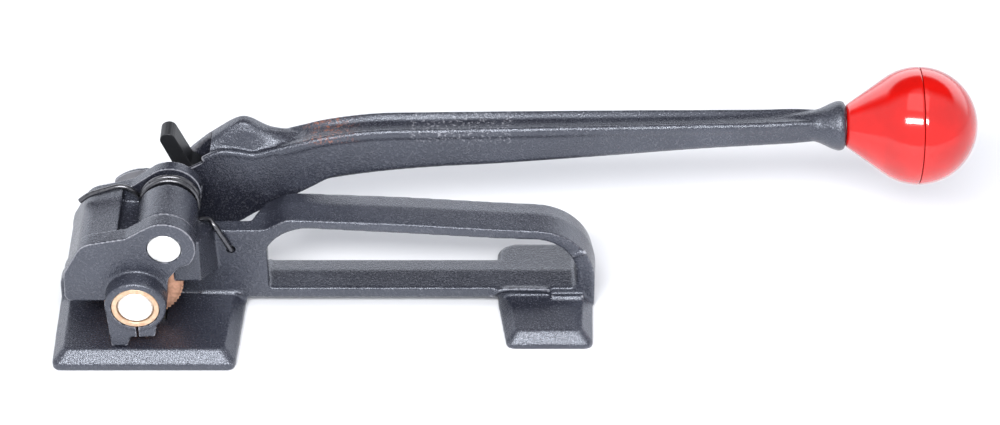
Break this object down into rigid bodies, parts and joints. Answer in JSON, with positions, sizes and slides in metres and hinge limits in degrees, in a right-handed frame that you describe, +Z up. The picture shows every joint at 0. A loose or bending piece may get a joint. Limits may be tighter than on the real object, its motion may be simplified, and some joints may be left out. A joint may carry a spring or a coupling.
{
  "type": "strapping tensioner tool",
  "caption": "Hand strapping tensioner: cast base with loop handle, hinged housing with feed wheel, ratchet lever and ball knob.",
  "frame": {"origin": "on the rear foot's sole, below the feed shaft's axis and in the feed wheel's mid plane", "axes": "+X along the strap towards the knob, +Y across the tool towards the lever, +Z up"},
  "size_m": [0.391, 0.0955, 0.1012],
  "materials": {
    "casting_paint": "semi-gloss black paint over a sand-cast skin",
    "pawl_steel": "blackened steel",
    "bright_steel": "machined steel",
    "spring_steel": "dark oiled spring steel",
    "tool_steel": "hardened tool steel",
    "bronze": "plain bronze bush",
    "copper_plate": "copper-plated toothed steel",
    "red_plastic": "glossy moulded red"
  },
  "bodies": {
    "base": {"base_casting": "casting_paint", "gripper_plug": "tool_steel", "gripper_screw_left": "bright_steel", "gripper_screw_right": "bright_steel"},
    "housing": {"housing_casting": "casting_paint", "hinge_pin": "bright_steel", "hinge_set_screw": "bright_steel", "housing_spring": "spring_steel", "near_bush": "bronze", "far_bush": "bronze", "thrust_washer": "bright_steel", "holding_pawl_pin": "bright_steel", "holding_pawl_clip": "spring_steel", "holding_pawl_spring": "spring_steel"},
    "feed": {"feed_shaft": "bright_steel", "feed_wheel": "copper_plate", "wheel_key": "tool_steel", "shaft_spacer": "bright_steel", "ratchet_wheel": "tool_steel", "ratchet_key": "tool_steel", "shaft_washer": "bright_steel", "shaft_retaining_ring": "spring_steel"},
    "lever": {"lever": "casting_paint", "drive_pawl_pin": "bright_steel", "drive_pawl_clip": "spring_steel", "drive_pawl_spring": "spring_steel", "knob_stud": "bright_steel", "knob_neck_half": "red_plastic", "knob_end_half": "red_plastic"},
    "drive_pawl": {"drive_pawl": "pawl_steel"},
    "holding_pawl": {"holding_pawl": "pawl_steel"}
  },
  "joints": [
    {"name": "housing_tilt", "type": "hinge", "parent": "base", "child": "housing", "pos_m": [0.0129, 0, 0.0542], "axis": [0, 1, 0], "range_deg": [0, 9], "stiffness_Nm_per_rad": 1.6, "springref_deg": -74.48, "deforming": ["housing_spring"]},
    {"name": "feed_spin", "type": "hinge", "parent": "housing", "child": "feed", "pos_m": [0, 0, 0.0292], "axis": [0, 1, 0], "continuous": true},
    {"name": "lever_swing", "type": "hinge", "parent": "housing", "child": "lever", "pos_m": [0, 0.0378, 0.0292], "axis": [0, -1, 0], "range_deg": [0, 90]},
    {"name": "drive_pawl_release", "type": "hinge", "parent": "lever", "child": "drive_pawl", "pos_m": [0.0205, 0.0378, 0.0515], "axis": [0, -1, 0], "range_deg": [0, 12], "stiffness_Nm_per_rad": 0.08, "springref_deg": -34.38, "deforming": ["drive_pawl_spring"]},
    {"name": "holding_pawl_release", "type": "hinge", "parent": "housing", "child": "holding_pawl", "pos_m": [-0.0238, 0.0378, 0.0167], "axis": [0, -1, 0], "range_deg": [0, 14], "stiffness_Nm_per_rad": 0.05, "springref_deg": -34.38, "deforming": ["holding_pawl_spring"]}
  ]
}
